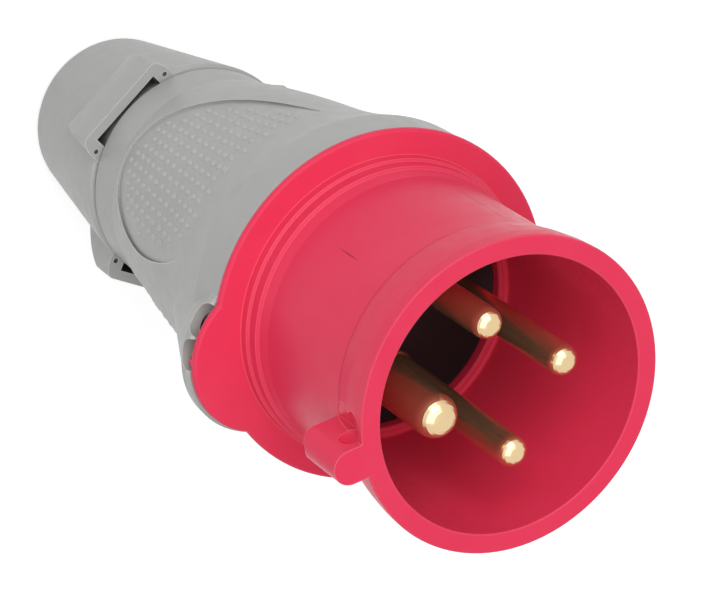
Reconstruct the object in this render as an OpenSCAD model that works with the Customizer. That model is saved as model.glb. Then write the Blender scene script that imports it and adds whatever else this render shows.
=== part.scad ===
// Industrial pin and sleeve plug, 16 A, three phases and earth, earth at 6 o'clock.
// It stands on the flat rear of its gland nut. Z is the plug's axis, pins up,
// the origin is at the centre of that rear face and the keyway side is -Y.

/* [Overall] */
// Height from the rear of the gland nut to the rim of the sleeve
overall_h = 145; // [138:1:160]
// Depth of the sleeve, from its rim to the front of the flange
sleeve_depth = 40; // [34:1:46]

/* [Sleeve] */
// Outside radius of the sleeve at its rim
sleeve_r = 25.5; // [24.5:0.25:28]
// Inside radius of the sleeve at its rim
sleeve_bore_r = 22.3; // [21:0.1:22.6]
// How much narrower the sleeve is behind its front band
band_step = 1.7; // [0.9:0.1:2]
// Length of the thick front band
band_len = 10; // [6:0.5:14]
// Inward draft of the bore over the sleeve's depth
bore_draft = 0.4; // [0.1:0.1:0.6]
// Width of the lip that the floor of the sleeve shows round the contact carrier
lip_w = 1.5; // [1:0.1:2.2]
// Height of that lip above the floor
lip_h = 1.5; // [0.8:0.1:2.5]

/* [Flange] */
// Radius of the flange
flange_r = 29.5; // [29.5:0.25:32]
// Thickness of the flange
flange_t = 1.2; // [1:0.1:1.8]
// Radius of the rounded lobe over the latch
lobe_r = 13; // [11:0.1:13.5]
// How far the lobe reaches out from the plug's axis
lobe_reach = 33.9; // [33:0.1:36]
// Depth of the skirt that enters the housing
skirt_len = 8.6; // [7:0.2:9.5]
// Wall of that skirt
skirt_wall = 2.3; // [1.8:0.1:2.4]

/* [Key] */
// Width of the key rib
key_w = 5.6; // [4.5:0.1:6.5]
// Distance from the axis to the crown of the key
key_reach = 30.6; // [29:0.1:32]
// Length of the key along the sleeve
key_len = 10.6; // [8:0.2:14]

/* [Contacts] */
// Diameter of a phase pin
phase_d = 5; // [4:0.1:5.6]
// Diameter of the earth pin
earth_d = 7; // [6:0.1:7.6]
// Radius of the circle that the pins stand on
pin_circle_r = 11.2; // [10.4:0.1:11.8]
// How far the phase pins stop short of the rim
phase_short = 1.9; // [0.8:0.1:4]
// How far the earth pin stops short of the rim
earth_short = 1; // [0.4:0.1:3]
// Length of the terminal barrel behind a pin's collar
barrel_len = 15; // [12:0.5:17]
// Thickness of a pin's retaining collar
collar_t = 3; // [2.4:0.2:3.6]
// Diameter of the terminal screws
screw_d = 3.5; // [3:0.1:3.8]

/* [Carrier] */
// Thickness of the contact carrier behind its shoulder
carrier_t = 14; // [12:0.5:15]
// Radius of the raised boss round the earth pin
boss_r = 6.4; // [5.5:0.1:7]
// Height of that boss above the floor
boss_h = 2.4; // [1:0.1:4]
// Thickness of the plate that holds the contacts in
plate_t = 2.5; // [2:0.1:3.5]

/* [Housing] */
// How far the flange stands proud of the housing's bell
bell_step = 0.4; // [0.2:0.05:0.6]
// Radius of the grip where the bell starts
waist_r = 24.8; // [24.2:0.1:25.4]
// Radius of the collar at the rear of the housing
collar_r = 19.7; // [19.3:0.1:20]
// Height of the collar's rear face above the rear of the nut
collar_z = 37; // [35:0.5:40]
// Height of the collar
collar_h = 8.4; // [6:0.2:10]
// Height at which the bell starts
waist_z = 74; // [70:1:78]
// Wall of the housing
wall = 2.6; // [2:0.1:3]
// Depth of the grip panels
panel_depth = 0.45; // [0.2:0.05:0.8]

/* [Gland] */
// Radius of the nut at its open end
nut_r = 20.1; // [20:0.1:21]
// Radius of the nut just above its rounded rear edge
nut_rear_r = 15.4; // [15:0.1:16.5]
// Radius of the rounded rear edge
nut_round = 3.2; // [2:0.2:3.6]
// Radius of the thread, taken at the outside of the housing's spigot
thread_r = 17.4; // [17:0.1:17.5]
// Length of the spigot behind the collar
spigot_len = 16; // [13:0.5:18]
// Radius of the cable entry
entry_r = 8.5; // [6:0.25:9]
// Width across each of the three finger pads
pad_w = 18.4; // [16:0.2:20]
// Distance from the axis to the face of a finger pad
pad_reach = 21.6; // [21.3:0.1:22.6]
// Length of a finger pad
pad_len = 17; // [14:0.5:20]

/* [Fits] */
// Running clearance of the gland nut's thread, on the radius
thread_gap = 0.1; // [0.1:0.05:0.3]
// Clearance of the skirt and carrier in their bores, on the radius
bore_gap = 0.12; // [0.08:0.02:0.2]
// Clearance of the pins in the carrier, on the radius
pin_gap = 0.06; // [0.04:0.01:0.1]
// Clearance between faces that only pass each other
face_gap = 0.3; // [0.2:0.05:0.5]

/* [Hidden] */

$fn = 96;
round_fn = 24;      // facets on small rounded parts
eps = 0.02;         // overlap that makes a union solid
quarter = 90;
third = 120;

// heights
rim_z = overall_h;
floor_z = rim_z - sleeve_depth;            // front of the flange and floor of the sleeve
flange_z = floor_z - flange_t;             // rear of the flange
skirt_z = flange_z - skirt_len;
shoulder_z = floor_z - lip_h;              // where the carrier meets the sleeve's lip
carrier_z = shoulder_z - carrier_t;        // rear of the carrier
collar_top = collar_z + collar_h;
hood_z = flange_z - face_gap;              // front of the housing
bell_z = hood_z - 7.6;                     // top of the bell's curve
spigot_z = collar_z - spigot_len;
nut_top = collar_z - face_gap;

// radii
bell_r = flange_r - bell_step;             // front of the housing
skirt_rim = 0.9;                           // what the gasket's seat adds to the wall
bore_floor_r = sleeve_bore_r - bore_draft;
tube_r = sleeve_r - band_step;             // sleeve behind its band
nose_r = bore_floor_r - lip_w - bore_gap;  // carrier where it shows in the sleeve
skirt_in = skirt_r() - skirt_wall;
carrier_r = skirt_in - bore_gap;
function skirt_r() = bell_r - wall - skirt_rim;
spigot_bore = thread_r - 3.2;
grommet_r = spigot_bore - bore_gap;
lobe_y = lobe_reach - lobe_r;

// contact layout: earth at the key, phases every quarter turn
earth_a = -quarter;
phase_a = [earth_a + quarter, earth_a + 2 * quarter, earth_a + 3 * quarter];
barrel_d = phase_d + 3;
earth_barrel_d = earth_d + 2;
collar_over = 0.8;                         // how far a pin's collar stands proud of its barrel
tip_round = 0.86;                          // share of the pin's radius that the tip rounds off
wire_hole = 0.55;                          // wire hole, as a share of the barrel
seat_over = 0.3;                           // how much thicker a pin is inside the carrier
seat_rise = 0.5;                           // height above the carrier at which it gets thinner

// finger pads and grip panels
pad_a = [-150, -37, 86];                   // where the pads stand when the nut is tight
panel_side = [1, -1];
panel_a = 30;                              // below each side, towards the key
panel_half_w = 16.3;
panel_half_l = 33;
panel_z = overall_h - 67;
panel_tilt = 16;
panel_fade_l = 6;                          // from the panel's centre to where its floor runs out
panel_fade_z = panel_z + panel_fade_l;

// the housing's outline: two gentle blends between three radii
function ease(t, k) = (1 + k) * t - k * t * t;
function grip_r(z) = z < waist_z
    ? collar_r + 0.4 + (waist_r - collar_r - 0.4)
        * ease((z - collar_top) / (waist_z - collar_top), 0.35)
    : waist_r + (bell_r - waist_r) * ease((z - waist_z) / (bell_z - waist_z), -0.45);
grip_steps = 18;
function span(a, b, n) = [for (i = [0:n]) a + (b - a) * i / n];
function fillet(c, r, a0, a1, n = 6) =
    [for (a = span(a0, a1, n)) [c[0] + r * cos(a), c[1] + r * sin(a)]];
function grip_curve(inset, z0, z1) =
    [for (z = span(z0, z1, grip_steps)) [grip_r(z) - inset, z]];

// ---- shared shapes ----
module ring(r_out, r_in, z0, z1) {
    difference() {
        translate([0, 0, z0]) cylinder(r = r_out, h = z1 - z0);
        translate([0, 0, z0 - 1]) cylinder(r = r_in, h = z1 - z0 + 2);
    }
}
module at_pin(a) { rotate([0, 0, a]) translate([pin_circle_r, 0, 0]) children(); }
module rod(d, z0, z1) { translate([0, 0, z0]) cylinder(d = d, h = z1 - z0, $fn = 48); }

// ---- gland ----
module nut_outline() {
    edge = 0.8;
    ring_top = nut_top - 0.3;   // the pads stand a little proud of the ring
    polygon(concat(
        [[0, 0], [nut_rear_r - nut_round, 0]],
        fillet([nut_rear_r - nut_round, nut_round], nut_round, -quarter, -6),
        fillet([nut_r - edge, ring_top - edge], edge, 0, quarter, 3),
        [[0, ring_top]]));
}

// one finger pad: a block whose back curves down into the cone, hollow behind its face
pad_back_r = 26;        // curve of the back
pad_lean = 18;          // lean of the end faces
pad_corner = 1.3;
module finger_pad() {
    core_r = thread_r - 1.8;
    half = pad_w / 2;
    foot = half + (pad_reach - core_r) * tan(pad_lean);
    corner_y = half - pad_corner * (1 - sin(pad_lean)) / cos(pad_lean);
    intersection() {
        // seen along the axis: end faces that lean in, rounded outer corners
        linear_extrude(height = overall_h) polygon(concat(
            [[core_r, -foot]],
            fillet([pad_reach - pad_corner, -corner_y], pad_corner, pad_lean - quarter, 0, 4),
            fillet([pad_reach - pad_corner, corner_y], pad_corner, 0, quarter - pad_lean, 4),
            [[core_r, foot]]));
        // seen from the side: a convex back
        translate([pad_reach + 0.1 - pad_back_r, 0, nut_top - 1]) rotate([quarter, 0, 0])
            cylinder(r = pad_back_r, h = 2 * pad_w, center = true, $fn = 180);
        // seen from outside: it narrows a little towards its tail
        rotate([quarter, 0, quarter]) linear_extrude(height = overall_h)
            polygon([[-half - 0.8, nut_top], [half + 0.8, nut_top],
                     [half - 2.3, nut_top - pad_len], [2.3 - half, nut_top - pad_len]]);
    }
}
// the pocket behind a pad's face, which shows as a gap at both ends of the collar
module pad_pocket() {
    side = 1.9;
    depth = 7;
    face_x = collar_r + 0.15;
    translate([thread_r - 2, -pad_w / 2 + side, nut_top - depth])
        cube([face_x - thread_r + 2, pad_w - 2 * side, depth + 1]);
}
module gland_nut() {
    color("#a8a9a7") difference() {
        union() {
            rotate_extrude() nut_outline();
            for (a = pad_a) rotate([0, 0, a]) finger_pad();
        }
        // bore for the spigot, then the cone that closes the clamp cage
        translate([0, 0, spigot_z - 2]) cylinder(r = thread_r + thread_gap, h = overall_h);
        translate([0, 0, seat_z])
            cylinder(r1 = cage_r + 0.4, r2 = nut_rear_r - 0.6, h = spigot_z - 2 - seat_z + eps);
        translate([0, 0, -1]) cylinder(r = entry_r, h = seat_z + 2);
        for (a = pad_a) rotate([0, 0, a]) difference() {
            pad_pocket();
            translate([0, 0, -1]) cylinder(r = thread_r + 1.4, h = overall_h);
        }
        // blind holes in the pads' corners
        for (a = pad_a) rotate([0, 0, a]) for (s = [-1, 1])
            translate([pad_reach - 3.2, s * (pad_w / 2 - 0.3), nut_top - 0.9])
                cylinder(d = 0.9, h = 2, $fn = round_fn);
    }
}

seat_z = 6;                         // floor of the nut, on which the ring and cage stand
thrust_t = 1.5;
cage_wall = 3.4;
cage_r = nut_rear_r - cage_wall;
module thrust_ring() {
    color("#3c3d3f")
        ring(cage_r, entry_r + 0.4, seat_z + thread_gap, seat_z + thread_gap + thrust_t);
}

// fingers that close on the cable when the nut is tightened
module clamp_cage() {
    cage_z = seat_z + 2 * thread_gap + thrust_t;
    cage_h = spigot_z - cage_z - face_gap;
    fingers = 8;
    slot_w = 1.2;
    root = 3;
    color("#55575a") difference() {
        ring(cage_r, entry_r + 0.9, cage_z, cage_z + cage_h);
        for (i = [0:fingers - 1]) rotate([0, 0, i * 4 * quarter / fingers])
            translate([entry_r - 1, -slot_w / 2, cage_z + root])
                cube([cage_r, slot_w, cage_h]);
    }
}

module sealing_grommet() {
    groove = 0.8;
    color("#1d1d1e") difference() {
        ring(grommet_r, entry_r - 1.5, spigot_z + face_gap, collar_z - seal_t - 2 * pin_gap - 1);
        for (z = [spigot_z + 4, spigot_z + 8]) translate([0, 0, z]) rotate_extrude()
            translate([grommet_r, 0]) circle(r = groove, $fn = round_fn);
    }
}

seal_t = 2.9;
module entry_seal() {
    color("#1d1d1e")
        ring(grommet_r, entry_r - 1, collar_z - seal_t - pin_gap - 1, collar_z - pin_gap - 1);
}

// ---- housing ----
module housing_outline() {
    polygon(concat(
        [[0, spigot_z], [thread_r - 0.5, spigot_z], [thread_r, spigot_z + 0.5],
         [thread_r, collar_z], [collar_r - 0.5, collar_z], [collar_r, collar_z + 0.5],
         [collar_r + 0.25, collar_top - 0.2]],
        grip_curve(0, collar_top, bell_z),
        [[bell_r + 0.1, hood_z - 0.5], [bell_r - 0.2, hood_z], [0, hood_z]]));
}
module housing_hollow() {
    ledge = carrier_z - 2.6;
    polygon(concat(
        [[0, collar_z], [spigot_bore - 0.8, collar_z], [spigot_bore + 0.4, collar_top]],
        grip_curve(wall, collar_top + 6, ledge - 1),
        [[carrier_r - 2, ledge], [carrier_r + bore_gap, ledge],
         [carrier_r + bore_gap, skirt_z - face_gap],
         [skirt_r() + bore_gap, skirt_z - face_gap], [skirt_r() + bore_gap, flange_z + 1],
         [0, flange_z + 1]]));
}
// hood over the latch: its crown rises in a straight line, then stands square at the front
hood_over = 0.5;        // how far it stands outside the flange's lobe
hood_wall = 2.2;
module latch_hood() {
    slope = 0.41;
    square_l = 2.2;
    tail = 24.5;
    front_r = lobe_r + hood_over;
    translate([0, -lobe_y, 0]) rotate_extrude() polygon([
        [0, hood_z - tail], [front_r - slope * (tail - square_l), hood_z - tail],
        [front_r - slope * 1.6 - 0.2, hood_z - square_l - 1.6], [front_r - 0.1, hood_z - square_l],
        [front_r, hood_z - 0.4], [front_r - 0.4, hood_z], [0, hood_z]]);
}
// the space for the latch between the hood and the bell, closed in front by the lobe
module latch_space() {
    depth = 7;
    difference() {
        translate([0, -lobe_y, hood_z - depth]) cylinder(r = lobe_r + hood_over - hood_wall, h = depth + 1);
        translate([0, 0, hood_z - depth - 1]) cylinder(r = bell_r - 0.3, h = depth + 3);
    }
}
// two scalloped windows through the hood's front edge, which give access to the latch
module latch_windows() {
    for (w = [[-137.5, 2.85], [-111.5, 2.6]])
        translate([0, -lobe_y, hood_z]) rotate([0, 0, w[0]])
            translate([lobe_r - hood_wall - 0.2, 0, 0]) rotate([0, quarter, 0])
                cylinder(r = w[1], h = 8, $fn = 48);
}
// finger recess whose floor runs out into the flare of the bell
module grip_panel() {
    outline = [for (a = [0:7.5:359]) [panel_half_w * cos(a), panel_half_l * sin(a)]];
    runout = 12;
    intersection() {
        rotate_extrude() polygon(concat(
            [for (z = span(collar_top, panel_fade_z, grip_steps))
                [grip_r(z) - panel_depth * min(1, (panel_fade_z - z) / runout), z]],
            [for (z = span(panel_fade_z, collar_top, 1)) [waist_r + 6, z]]));
        translate([0, 0, panel_z]) rotate([quarter, 0, quarter])
            linear_extrude(height = waist_r + 10) rotate(panel_tilt) polygon(outline);
    }
}
module grip_panels() {
    for (s = panel_side) mirror([s < 0 ? 1 : 0, 0, 0])
        rotate([0, 0, -2 * quarter + panel_a]) grip_panel();
}
module rear_housing() {
    color("#a8a9a7") difference() {
        union() {
            rotate_extrude() housing_outline();
            latch_hood();
        }
        rotate_extrude() housing_hollow();
        translate([0, 0, spigot_z - 1]) cylinder(r = spigot_bore, h = collar_z - spigot_z + 1 + eps);
        grip_panels();
        latch_space();
        latch_windows();
        // seat of the gasket
        ring(skirt_r() + gasket_w + pin_gap, skirt_r() - 1, flange_z - gasket_t, flange_z + 1);
    }
}

// ---- gasket between flange and housing ----
gasket_t = 1.4;
gasket_w = 1.7;
module front_gasket() {
    color("#222222") ring(skirt_r() + gasket_w, skirt_r() + pin_gap,
        flange_z - gasket_t + pin_gap, flange_z);
}

// ---- sleeve ----
flange_round = 0.6;     // rounding of the flange's front edge
// the band steps out from the tube and flares up to the rim
function band_r(t) = tube_r + band_step * (0.25 + 0.75 * sin(quarter * t));
module sleeve_outline() {
    edge = 0.25;
    polygon(concat(
        [[nose_r + bore_gap, shoulder_z], [skirt_in, shoulder_z], [skirt_in, skirt_z],
         [skirt_r() - 0.4, skirt_z], [skirt_r(), skirt_z + 0.6], [skirt_r(), flange_z]],
        [[flange_r - 0.2, flange_z], [flange_r, flange_z + 0.2]],
        fillet([flange_r - flange_round, floor_z - flange_round], flange_round, 0, quarter),
        // two rings step down to the tube
        [[tube_r + 1.5, floor_z], [tube_r + 1.3, floor_z + 1.4], [tube_r + 0.9, floor_z + 1.7],
         [tube_r + 0.75, floor_z + 3.5], [tube_r + 0.3, floor_z + 3.9], [tube_r - 0.15, floor_z + 6],
         [tube_r - 0.1, rim_z - band_len - 4], [tube_r, rim_z - band_len - 0.6],
         [band_r(0) - 0.1, rim_z - band_len], [band_r(0.06), rim_z - 0.94 * band_len],
         [band_r(0.4), rim_z - 0.6 * band_len], [band_r(0.75), rim_z - 0.25 * band_len]],
        fillet([sleeve_r - edge, rim_z - edge], edge, 0, quarter, 3),
        fillet([sleeve_bore_r + edge, rim_z - edge], edge, quarter, 2 * quarter, 3),
        [[bore_floor_r, floor_z + lip_h + 0.6]],
        fillet([bore_floor_r - 0.6, floor_z + lip_h + 0.6], 0.6, 0, -quarter, 4),
        [[nose_r + bore_gap + 0.3, floor_z + lip_h], [nose_r + bore_gap, floor_z + lip_h - 0.3]]));
}
module lobe() {
    translate([0, -lobe_y, 0]) rotate_extrude() polygon(concat(
        [[0, flange_z], [lobe_r - 0.2, flange_z], [lobe_r, flange_z + 0.2]],
        fillet([lobe_r - flange_round, floor_z - flange_round], flange_round, 0, quarter),
        [[0, floor_z]]));
}
module key_rib() {
    crown = key_w / 2;
    heel = 1.6;
    intersection() {
        translate([0, 0, rim_z - key_len]) linear_extrude(height = key_len) {
            translate([0, crown - key_reach]) circle(r = crown);
            translate([-crown, crown - key_reach]) square([key_w, key_reach - crown - tube_r + 1]);
        }
        rotate([quarter, 0, quarter]) translate([0, 0, -key_w])
            linear_extrude(height = 2 * key_w) {
                translate([-key_reach - 1, rim_z - key_len + heel]) square([key_reach, key_len]);
                translate([-key_reach + heel, rim_z - key_len]) square([key_reach, key_len]);
                translate([-key_reach + heel, rim_z - key_len + heel]) circle(r = heel, $fn = 48);
            }
    }
}
// hollow along the foot of the key, closed towards the rim
module key_scoop() {
    scoop_r = 2.5;
    translate([-key_w / 2 - 1.5, 0.1 - sleeve_r, rim_z - scoop_r - 0.8]) sphere(r = scoop_r);
}
// flat-floored recess in the band, round the rear corner of the key
module key_recess() {
    recess_r = 3.4;
    side = -key_w / 2 - 0.1;
    translate([0, 1.9 - sleeve_r, 0]) rotate([quarter, 0, 0]) linear_extrude(height = band_step + 2)
        difference() {
            translate([side, rim_z - 7]) circle(r = recess_r);
            translate([side, rim_z - 8 - recess_r]) square([recess_r + 1, 2 * recess_r + 2]);
        }
}
module front_sleeve() {
    color("#e83a5c") difference() {
        union() {
            rotate_extrude() sleeve_outline();
            difference() {
                lobe();
                translate([0, 0, flange_z - 1]) cylinder(r = tube_r, h = flange_t + 2);
            }
            key_rib();
            latch_tooth();
        }
        key_scoop();
        key_recess();
    }
}
module latch_tooth() {
    drop = 1.2;
    translate([0, -lobe_y, 0]) rotate([0, 0, -105.5])
        translate([lobe_r - 1.5, -0.5, flange_z - drop]) cube([1.2, 1, drop + eps]);
}

// ---- contact carrier ----
module contact_carrier() {
    chamfer = 0.4;
    color("#141415") difference() {
        union() {
            rotate_extrude() polygon([
                [0, carrier_z], [carrier_r - chamfer, carrier_z], [carrier_r, carrier_z + chamfer],
                [carrier_r, shoulder_z], [nose_r, shoulder_z], [nose_r, floor_z - chamfer],
                [nose_r - chamfer, floor_z], [0, floor_z]]);
            at_pin(earth_a) rod(2 * boss_r, floor_z - 1, floor_z + boss_h);
        }
        at_pin(earth_a) contact_hole(earth_d, earth_barrel_d);
        for (a = phase_a) at_pin(a) contact_hole(phase_d, barrel_d);
        rod(screw_d + 2 * pin_gap, carrier_z - 1, carrier_z + 8);
    }
}
module contact_hole(d, barrel) {
    rod(d + 2 * seat_over + 2 * pin_gap, carrier_z - 1, rim_z);
    rod(barrel + 2 * collar_over + 2 * pin_gap, carrier_z - 1, carrier_z + collar_t + pin_gap);
}
module carrier_ring() {
    color("#2a2a2c") ring(carrier_r - 0.1, carrier_r - 1.7, carrier_z - 2.5, carrier_z);
}
module contact_plate() {
    color("#2f3033") difference() {
        translate([0, 0, carrier_z - plate_t]) cylinder(r = carrier_r - 1.7 - face_gap, h = plate_t);
        at_pin(earth_a) rod(earth_barrel_d + 2 * pin_gap, carrier_z - plate_t - 1, carrier_z + 1);
        for (a = phase_a) at_pin(a)
            rod(barrel_d + 2 * pin_gap, carrier_z - plate_t - 1, carrier_z + 1);
        translate([0, 0, carrier_z - plate_t - 1])
            cylinder(d = screw_d + 0.4, h = plate_t + 2, $fn = 48);
    }
}
module plate_screw() {
    color("#b9bcc0") difference() {
        union() {
            rod(screw_d, carrier_z - plate_t - eps, carrier_z + 6);
            rod(2 * screw_d, carrier_z - plate_t - 2.2, carrier_z - plate_t);
        }
        translate([-screw_d, -0.5, carrier_z - plate_t - 3]) cube([2 * screw_d, 1, 1.9]);
    }
}

// ---- contacts: rounded tip, shank, collar and terminal barrel, turned in one piece ----
module contact(d, barrel, base_z, tip_z) {
    tip = tip_round * d / 2;
    rear = carrier_z - barrel_len + collar_t;
    difference() {
        rotate_extrude($fn = 48) polygon(concat(
            [[0, rear], [barrel / 2 - 0.4, rear], [barrel / 2, rear + 0.4], [barrel / 2, carrier_z],
             [barrel / 2 + collar_over, carrier_z], [barrel / 2 + collar_over, carrier_z + collar_t],
             [d / 2 + seat_over, carrier_z + collar_t],
            [d / 2 + seat_over, base_z + seat_rise - 0.4], [d / 2, base_z + seat_rise]],
            fillet([d / 2 - tip, tip_z - tip], tip, 0, quarter, 8),
            [[0, tip_z]]));
        rod(barrel * wire_hole, rear - 1, rear + barrel_len - collar_t - 2);
        terminal_axis(rear) cylinder(d = screw_d + 2 * pin_gap, h = barrel, $fn = 32);
    }
}
module terminal_axis(rear) { translate([0, 0, rear + 4.5]) rotate([0, quarter, 0]) children(); }
module earth_pin() {
    color("#e1c896") at_pin(earth_a) contact(earth_d, earth_barrel_d, floor_z + boss_h,
        rim_z - earth_short);
}
module phase_pin(i) {
    color("#e1c896") at_pin(phase_a[i]) contact(phase_d, barrel_d, floor_z,
        rim_z - phase_short);
}
module terminal_screw(a, barrel) {
    reach = 2.4;
    rear = carrier_z - barrel_len + collar_t;
    color("#c8cacd") at_pin(a) terminal_axis(rear) difference() {
        translate([0, 0, barrel * wire_hole / 2 + 0.1])
            cylinder(d = screw_d, h = barrel / 2 - barrel * wire_hole / 2 - 0.1 + reach, $fn = 32);
        translate([-0.4, -screw_d, barrel / 2 + reach - 1]) cube([0.8, 2 * screw_d, 2]);
    }
}

gland_nut();
thrust_ring();
clamp_cage();
sealing_grommet();
entry_seal();
rear_housing();
front_gasket();
front_sleeve();
contact_carrier();
carrier_ring();
contact_plate();
plate_screw();
earth_pin();
phase_pin(0);  // phase_pin_l1
phase_pin(1);  // phase_pin_l2
phase_pin(2);  // phase_pin_l3
terminal_screw(earth_a, earth_barrel_d);  // earth_terminal_screw
terminal_screw(phase_a[0], barrel_d);  // terminal_screw_l1
terminal_screw(phase_a[1], barrel_d);  // terminal_screw_l2
terminal_screw(phase_a[2], barrel_d);  // terminal_screw_l3
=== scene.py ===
"""Industrial pin and sleeve plug: looks, fine detail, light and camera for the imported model."""

import math

import bmesh
import bpy
from mathutils import Matrix, Vector
from mathutils.bvhtree import BVHTree


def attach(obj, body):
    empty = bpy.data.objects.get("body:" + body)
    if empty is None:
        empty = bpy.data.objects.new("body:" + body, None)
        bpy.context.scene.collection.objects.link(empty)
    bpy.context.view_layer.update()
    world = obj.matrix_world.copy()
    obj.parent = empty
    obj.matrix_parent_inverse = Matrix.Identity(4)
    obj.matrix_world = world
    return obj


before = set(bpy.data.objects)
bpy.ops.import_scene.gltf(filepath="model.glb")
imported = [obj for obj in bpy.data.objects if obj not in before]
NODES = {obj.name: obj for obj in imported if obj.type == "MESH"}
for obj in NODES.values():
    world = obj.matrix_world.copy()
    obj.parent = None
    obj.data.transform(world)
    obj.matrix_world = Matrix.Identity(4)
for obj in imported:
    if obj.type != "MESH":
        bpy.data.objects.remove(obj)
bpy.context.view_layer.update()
MM = 0.001


# ---------------------------------------------------------------- camera
CAMERA_AT = Vector((-0.25692, -0.19663, 0.55601))
CAMERA_AZIMUTH = -52.957
CAMERA_ELEVATION = 54.845
CAMERA_ROLL = -125.252
CAMERA_LENS = 179.49
CAMERA_SENSOR = 36
CAMERA_CLIP = 10 * MM


def camera_axes(azimuth, elevation, roll):
    """Right, up and back of a camera that looks down by elevation, rolled about its line of sight."""
    az, el, ro = (math.radians(a) for a in (azimuth, elevation, roll))
    ahead = Vector((-math.sin(az) * math.cos(el), math.cos(az) * math.cos(el), -math.sin(el)))
    level = ahead.cross(Vector((0, 0, 1))).normalized()
    upright = level.cross(ahead)
    up = upright * math.cos(ro) + level * math.sin(ro)
    return ahead.cross(up), up, -ahead


def add_camera():
    data = bpy.data.cameras.new("camera")
    data.lens = CAMERA_LENS
    data.sensor_width = CAMERA_SENSOR
    data.clip_start = CAMERA_CLIP
    camera = bpy.data.objects.new("camera", data)
    bpy.context.scene.collection.objects.link(camera)
    axes = camera_axes(CAMERA_AZIMUTH, CAMERA_ELEVATION, CAMERA_ROLL)
    turn = Matrix(axes).transposed().to_4x4()
    camera.matrix_world = Matrix.Translation(CAMERA_AT) @ turn
    bpy.context.scene.camera = camera


# ---------------------------------------------------------------- materials
# cosine between the bevelled and the true normal, off an edge and on it
EDGE_OFF, EDGE_ON = 0.995, 0.9
# share of open space over a point, deep in a gap and clear of it
GAP_DEEP, GAP_CLEAR = 0.04, 0.28
# a seam starts this far from the axis, so that it stays on one side, and fades at its ends
SEAM_SIDE = (5 * MM, 6 * MM)
SEAM_FADE = 3 * MM


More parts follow.
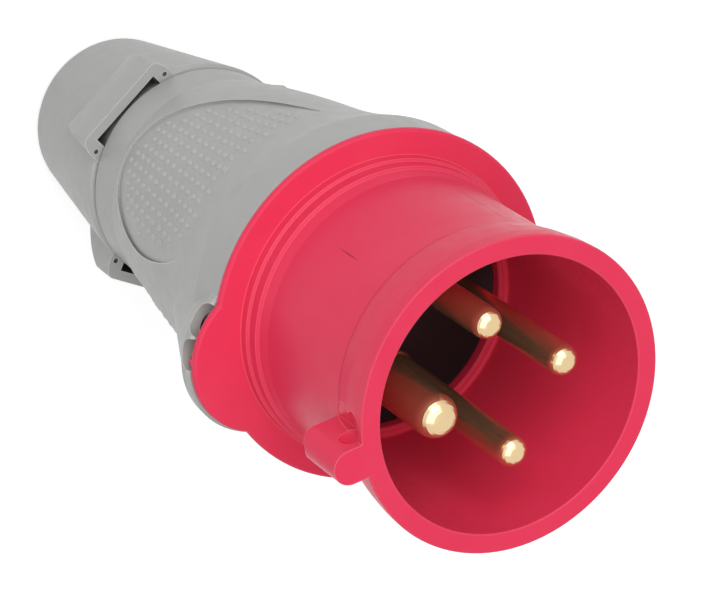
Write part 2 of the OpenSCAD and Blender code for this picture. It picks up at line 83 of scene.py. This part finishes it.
class Shader:
    """A principled material with helpers that add procedural variation."""

    def __init__(self, name, color, rough, metallic=0.0):
        self.mat = bpy.data.materials.new(name)
        self.mat.use_nodes = True
        self.tree = self.mat.node_tree
        self.bsdf = self.tree.nodes["Principled BSDF"]
        self.bsdf.inputs["Base Color"].default_value = (*color, 1)
        self.bsdf.inputs["Roughness"].default_value = rough
        self.bsdf.inputs["Metallic"].default_value = metallic
        self.where = self.add("ShaderNodeTexCoord").outputs["Object"]
        self.height = None

    def add(self, kind, **values):
        node = self.tree.nodes.new(kind)
        for key, value in values.items():
            setattr(node, key, value)
        return node

    def link(self, a, b):
        self.tree.links.new(a, b)

    def stretched(self, scale):
        node = self.add("ShaderNodeMapping")
        node.inputs["Scale"].default_value = scale
        self.link(self.where, node.inputs["Vector"])
        return node.outputs["Vector"]

    def noise(self, scale, detail, stretch=None):
        node = self.add("ShaderNodeTexNoise")
        node.inputs["Scale"].default_value = scale
        node.inputs["Detail"].default_value = detail
        node.inputs["Roughness"].default_value = 0.55
        self.link(self.stretched(stretch) if stretch else self.where, node.inputs["Vector"])
        return node.outputs["Fac"]

    def ramp(self, value, low, high, a=0.0, b=1.0):
        """a at low, b at high, straight between them and level outside."""
        node = self.add("ShaderNodeMapRange")
        for key, v in (("From Min", low), ("From Max", high), ("To Min", a), ("To Max", b)):
            node.inputs[key].default_value = v
        self.link(value, node.inputs["Value"])
        return node.outputs["Result"]

    def along(self, direction):
        """Distance from the origin along a direction."""
        node = self.add("ShaderNodeVectorMath", operation="DOT_PRODUCT")
        node.inputs[1].default_value = direction
        self.link(self.where, node.inputs[0])
        return node.outputs["Value"]

    def times(self, a, b):
        node = self.add("ShaderNodeMath", operation="MULTIPLY")
        self.link(a, node.inputs[0])
        self.link(b, node.inputs[1])
        return node.outputs[0]

    def tint(self, factor, color):
        """Mixes another colour in where factor is 1."""
        node = self.add("ShaderNodeMix", data_type="RGBA")
        source = self.bsdf.inputs["Base Color"]
        if source.is_linked:
            self.link(source.links[0].from_socket, node.inputs[6])
        else:
            node.inputs[6].default_value = source.default_value
        node.inputs[7].default_value = (*color, 1)
        self.link(factor, node.inputs[0])
        self.link(node.outputs[2], source)

    def rough(self, factor, low, high):
        self.link(self.ramp(factor, 0.3, 0.7, low, high), self.bsdf.inputs["Roughness"])

    def bump(self, factor, strength, depth):
        node = self.add("ShaderNodeBump")
        node.inputs["Strength"].default_value = strength
        node.inputs["Distance"].default_value = depth
        self.link(factor, node.inputs["Height"])
        if self.height:
            self.link(self.height, node.inputs["Normal"])
        self.height = node.outputs["Normal"]
        self.link(self.height, self.bsdf.inputs["Normal"])

    def edges(self, radius):
        """1 along edges, where the bevelled normal leaves the true one."""
        bevel = self.add("ShaderNodeBevel", samples=6)
        bevel.inputs["Radius"].default_value = radius
        geometry = self.add("ShaderNodeNewGeometry")
        dot = self.add("ShaderNodeVectorMath", operation="DOT_PRODUCT")
        self.link(bevel.outputs["Normal"], dot.inputs[0])
        self.link(geometry.outputs["Normal"], dot.inputs[1])
        return self.ramp(dot.outputs["Value"], EDGE_OFF, EDGE_ON)

    def painted_gap_shade(self, reach):
        """1 deep in narrow gaps, where shade is painted in."""
        node = self.add("ShaderNodeAmbientOcclusion", samples=12)
        node.inputs["Distance"].default_value = reach
        return self.ramp(node.outputs["AO"], GAP_DEEP, GAP_CLEAR, 1, 0)

    def seam(self, azimuth, low, high, width):
        """1 on a fine line along the axis at an azimuth, between two heights."""
        theta = math.radians(azimuth)
        aside = self.add("ShaderNodeMath", operation="ABSOLUTE")
        self.link(self.along((-math.sin(theta), math.cos(theta), 0)), aside.inputs[0])
        line = self.ramp(aside.outputs[0], 0.4 * width, width, 1, 0)
        out = self.along((math.cos(theta), math.sin(theta), 0))
        line = self.times(line, self.ramp(out, *SEAM_SIDE))
        up = self.along((0, 0, 1))
        line = self.times(line, self.ramp(up, low, low + SEAM_FADE))
        return self.times(line, self.ramp(up, high - SEAM_FADE, high, 1, 0))


def lighter(color, amount):
    return tuple(min(1.0, c + (1 - c) * amount) for c in color)


def darker(color, amount):
    return tuple(c * (1 - amount) for c in color)


def moulded_plastic(name, color, rough, grain=0.25, pale=0.03, dark=0.05, gloss=0.35, edge_highlight=0.1):
    """Injection-moulded plastic: faint flow variation, spark-eroded grain and a painted highlight
    along the edges.
    """
    s = Shader(name, color, rough)
    flow, mottle, sheen = s.noise(45, 2), s.noise(130, 4), s.noise(420, 3)
    fine_grain, coarse_grain = s.noise(5200, 2), s.noise(900, 2)
    s.tint(s.ramp(flow, 0.45, 0.7), lighter(color, pale))
    s.tint(s.ramp(mottle, 0.5, 0.75, 0.0, 0.6), darker(color, dark))
    # painted highlight: a lighter tint along every edge, where light would catch it
    s.tint(s.edges(0.3 * MM), lighter(color, edge_highlight))
    s.rough(sheen, rough - 0.04, rough + 0.06)
    s.bump(fine_grain, grain * 0.35, 0.06 * MM)
    s.bump(coarse_grain, grain * 0.2, 0.1 * MM)
    s.bsdf.inputs["Specular IOR Level"].default_value = gloss
    return s


def turned_metal(name, color, rough, rings, metallic=1.0):
    """Turned metal: fine rings along the axis and slightly uneven tarnish."""
    s = Shader(name, color, rough, metallic)
    tarnish, sheen, turning = s.noise(160, 2), s.noise(300, 1), s.noise(rings, 0, (0.0, 0.0, 1.0))
    s.tint(s.ramp(tarnish, 0.45, 0.72, 0.0, 0.5), darker(color, 0.1))
    s.rough(sheen, rough - 0.02, rough + 0.05)
    s.bump(turning, 0.04, 0.02 * MM)
    return s


GREY = (0.388, 0.391, 0.380)
RED = (0.77, 0.041, 0.100)
BLACK = (0.012, 0.011, 0.012)
DARK = (0.045, 0.046, 0.05)
RUBBER = (0.016, 0.016, 0.017)
BRASS = (0.80, 0.60, 0.34)
STEEL = (0.62, 0.63, 0.65)

# the grey mouldings get a painted highlight along their edges, and painted shade deep in the pockets
# of the nut's pads
GREY_ROUGH = 0.42
GREY_EDGE_HIGHLIGHT = 0.32
POCKET_REACH = 4 * MM
POCKET_SHADE = 0.85

# fine mould lines on the sleeve: azimuth, from, to
SLEEVE_SEAMS = ((153, 117 * MM, 133 * MM), (-151, 119 * MM, 126 * MM))
SEAM_WIDTH = 0.16 * MM


def nut_plastic():
    nut = moulded_plastic("nut_plastic", GREY, GREY_ROUGH, edge_highlight=GREY_EDGE_HIGHLIGHT)
    # painted shade: the grey turns near black deep in the pads' pockets and other narrow gaps
    nut.tint(nut.painted_gap_shade(POCKET_REACH), darker(GREY, POCKET_SHADE))
    return nut


def sleeve_plastic():
    red = moulded_plastic("red_plastic", RED, 0.32, grain=0.15, pale=0.01, dark=0.04,
                          gloss=0.11, edge_highlight=0.12)
    for line in SLEEVE_SEAMS:
        mark = red.seam(*line, width=SEAM_WIDTH)
        red.tint(mark, darker(RED, 0.55))
        red.bump(mark, -0.4, 0.1 * MM)
    return red


def dress_nodes():
    """Gives every CAD node its material."""
    looks = (
        (moulded_plastic("grey_plastic", GREY, GREY_ROUGH, edge_highlight=GREY_EDGE_HIGHLIGHT), ("rear_housing",)),
        (nut_plastic(), ("gland_nut",)),
        (sleeve_plastic(), ("front_sleeve",)),
        (moulded_plastic("black_plastic", BLACK, 0.38, gloss=0.2, edge_highlight=0.03),
         ("contact_carrier",)),
        (moulded_plastic("dark_plastic", DARK, 0.5),
         ("thrust_ring", "clamp_cage", "carrier_ring", "contact_plate")),
        (moulded_plastic("seal_rubber", RUBBER, 0.7, grain=0.6),
         ("sealing_grommet", "entry_seal", "front_gasket")),
        (turned_metal("contact_brass", BRASS, 0.18, rings=900, metallic=0.9),
         ("earth_pin", "phase_pin_l1", "phase_pin_l2", "phase_pin_l3")),
        (turned_metal("screw_steel", STEEL, 0.3, rings=1200),
         ("plate_screw", "earth_terminal_screw", "terminal_screw_l1", "terminal_screw_l2",
          "terminal_screw_l3")),
    )
    for shader, names in looks:
        for name in names:
            for slot in NODES[name].material_slots:
                slot.material = shader.mat


# ---------------------------------------------------------------- light and floor
AIM = Vector((0, 0, 90 * MM))
LAMP_SIZE = 0.9
LAMP_DISTANCE = 1.1
SURROUND_LEVEL = 0.5
FLOOR_HALF = 3.0
FLOOR_GREY = 0.6
FLOOR_GLOW = 0.6


def area_light(name, azimuth, elevation, level):
    """A soft box at an angle about +Z; level 1 lights a face turned to it to its own colour."""
    data = bpy.data.lights.new(name, "AREA")
    data.shape = "SQUARE"
    data.size = LAMP_SIZE
    data.energy = (math.pi * LAMP_DISTANCE) ** 2 * level
    lamp = bpy.data.objects.new(name, data)
    bpy.context.scene.collection.objects.link(lamp)
    az, el = math.radians(azimuth), math.radians(elevation)
    away = Vector((math.cos(az) * math.cos(el), math.sin(az) * math.cos(el), math.sin(el)))
    lamp.location = AIM + away * LAMP_DISTANCE
    lamp.rotation_euler = away.to_track_quat("Z", "Y").to_euler()


def shows_background(tree):
    """1 for what the camera sees directly, in a mirror or through glass."""
    path = tree.nodes.new("ShaderNodeLightPath")
    total = path.outputs["Is Camera Ray"]
    for ray in ("Is Glossy Ray", "Is Transmission Ray"):
        add = tree.nodes.new("ShaderNodeMath")
        add.operation = "MAXIMUM"
        tree.links.new(total, add.inputs[0])
        tree.links.new(path.outputs[ray], add.inputs[1])
        total = add.outputs[0]
    return total


def background_strength(tree, lit, shown, socket):
    """Sets a strength that is shown to the camera and its reflections, and lit for the light."""
    strength = tree.nodes.new("ShaderNodeMapRange")
    strength.inputs["To Min"].default_value = lit
    strength.inputs["To Max"].default_value = shown
    tree.links.new(shows_background(tree), strength.inputs["Value"])
    tree.links.new(strength.outputs["Result"], socket)


def add_world():
    """A plain surround that shows as white."""
    world = bpy.data.worlds.new("studio")
    world.use_nodes = True
    tree = world.node_tree
    background = tree.nodes["Background"]
    background.inputs["Color"].default_value = (1, 1, 1, 1)
    background_strength(tree, SURROUND_LEVEL, 1.0, background.inputs["Strength"])
    bpy.context.scene.world = world


def add_floor():
    """A pale floor that shows as white and keeps the plug's shadow."""
    mesh = bpy.data.meshes.new("floor")
    corners = [(x * FLOOR_HALF, y * FLOOR_HALF, 0) for x, y in ((-1, -1), (1, -1), (1, 1), (-1, 1))]
    mesh.from_pydata(corners, [], [(0, 1, 2, 3)])
    floor = bpy.data.objects.new("floor", mesh)
    bpy.context.scene.collection.objects.link(floor)
    mat = bpy.data.materials.new("floor")
    mat.use_nodes = True
    bsdf = mat.node_tree.nodes["Principled BSDF"]
    bsdf.inputs["Base Color"].default_value = (FLOOR_GREY, FLOOR_GREY, FLOOR_GREY, 1)
    bsdf.inputs["Roughness"].default_value = 0.9
    bsdf.inputs["Specular IOR Level"].default_value = 0.0
    bsdf.inputs["Emission Color"].default_value = (1, 1, 1, 1)
    background_strength(mat.node_tree, 0.0, FLOOR_GLOW, bsdf.inputs["Emission Strength"])
    mesh.materials.append(mat)


# ---------------------------------------------------------------- grip bumps
# the finger recesses: tilted ovals about these azimuths, on the heights of the CAD's cuts
PANEL_AZIMUTH = (-150, -30)
PANEL_Z = 78 * MM
PANEL_HALF = (16.3 * MM, 33 * MM)
PANEL_TILT = math.radians(16)

DOT_FRONT_Z = 84.6 * MM
DOT_STEP_Z = 3.0 * MM
DOT_STEP_ANGLE = 4.75
DOT_COLUMNS_ASIDE = 11
DOT_ROWS = 24
DOT_MARGIN = 2.6 * MM

BUMP_HALF_ACROSS = 0.54 * MM
BUMP_HALF_ALONG = 0.75 * MM
BUMP_HEIGHT = 0.29 * MM
BUMP_SIDES = 10
# rings from the sunk foot to the flat top: share of the width, rise
BUMP_RINGS = ((1.12, -0.05 * MM), (1.0, 0.25 * BUMP_HEIGHT), (0.8, 0.7 * BUMP_HEIGHT),
              (0.45, 0.95 * BUMP_HEIGHT))


def new_piece(name, bm, material, body):
    mesh = bpy.data.meshes.new(name)
    bm.to_mesh(mesh)
    bm.free()
    for polygon in mesh.polygons:
        polygon.use_smooth = True
    mesh.materials.append(material)
    piece = bpy.data.objects.new(name, mesh)
    bpy.context.scene.collection.objects.link(piece)
    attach(piece, body)


def outer_surface(node):
    """A function that gives the outer point and normal of a node at an azimuth and height."""
    tree = BVHTree.FromObject(NODES[node], bpy.context.evaluated_depsgraph_get())

    def at(azimuth, z):
        out = Vector((math.cos(azimuth), math.sin(azimuth), 0))
        point, normal, _, _ = tree.ray_cast(out * 0.1 + Vector((0, 0, z)), -out)
        return point, normal

    return at


def inside_panel(across, along):
    """Whether a place, taken from a finger recess's centre, is well inside its tilted oval."""
    cos, sin = math.cos(PANEL_TILT), math.sin(PANEL_TILT)
    a = (across * cos + along * sin) / (PANEL_HALF[0] - DOT_MARGIN)
    b = (along * cos - across * sin) / (PANEL_HALF[1] - DOT_MARGIN)
    return a * a + b * b < 1


def add_bump(bm, point, normal):
    """A low oval dome on a surface, its long axis along the plug."""
    across = Vector((0, 0, 1)).cross(normal).normalized()
    along = normal.cross(across)
    turns = [2 * math.pi * i / BUMP_SIDES for i in range(BUMP_SIDES)]
    rings = []
    for spread, rise in BUMP_RINGS:
        rings.append([bm.verts.new(point + normal * rise
                                   + across * (BUMP_HALF_ACROSS * spread * math.cos(t))
                                   + along * (BUMP_HALF_ALONG * spread * math.sin(t)))
                      for t in turns])
    for low, high in zip(rings, rings[1:]):
        for i in range(BUMP_SIDES):
            j = (i + 1) % BUMP_SIDES
            bm.faces.new((low[i], low[j], high[j], high[i]))
    bm.faces.new(rings[-1])


def add_grip_dots(material):
    """Rows of small grip bumps in the two finger recesses, each column half a step off the next."""
    surface = outer_surface("rear_housing")
    for number, centre in enumerate(PANEL_AZIMUTH, 1):
        mirror = 1 if number == 1 else -1
        bm = bmesh.new()
        for column in range(-DOT_COLUMNS_ASIDE, DOT_COLUMNS_ASIDE + 1):
            azimuth = math.radians(centre + mirror * column * DOT_STEP_ANGLE)
            for row in range(DOT_ROWS):
                z = DOT_FRONT_Z - (row + 0.5 * (column % 2)) * DOT_STEP_Z
                point, normal = surface(azimuth, z)
                if not point:
                    continue
                across = mirror * point.xy.length * math.sin(azimuth - math.radians(centre))
                if inside_panel(across, z - PANEL_Z):
                    add_bump(bm, point, normal)
        new_piece("grip_dots_%d" % number, bm, material, "plug")


def main():
    add_camera()
    add_world()
    add_floor()
    area_light("key", azimuth=-176, elevation=47, level=0.52)
    area_light("fill", azimuth=-104, elevation=57, level=0.31)
    dress_nodes()
    # painted highlight: the bumps get a lighter copy of the housing grey, standing in for the light
    # they catch
    add_grip_dots(moulded_plastic("grip_dot_plastic_painted_highlight", lighter(GREY, 0.05), 0.38, grain=0.1).mat)
    bpy.context.scene.view_settings.view_transform = "Standard"


main()
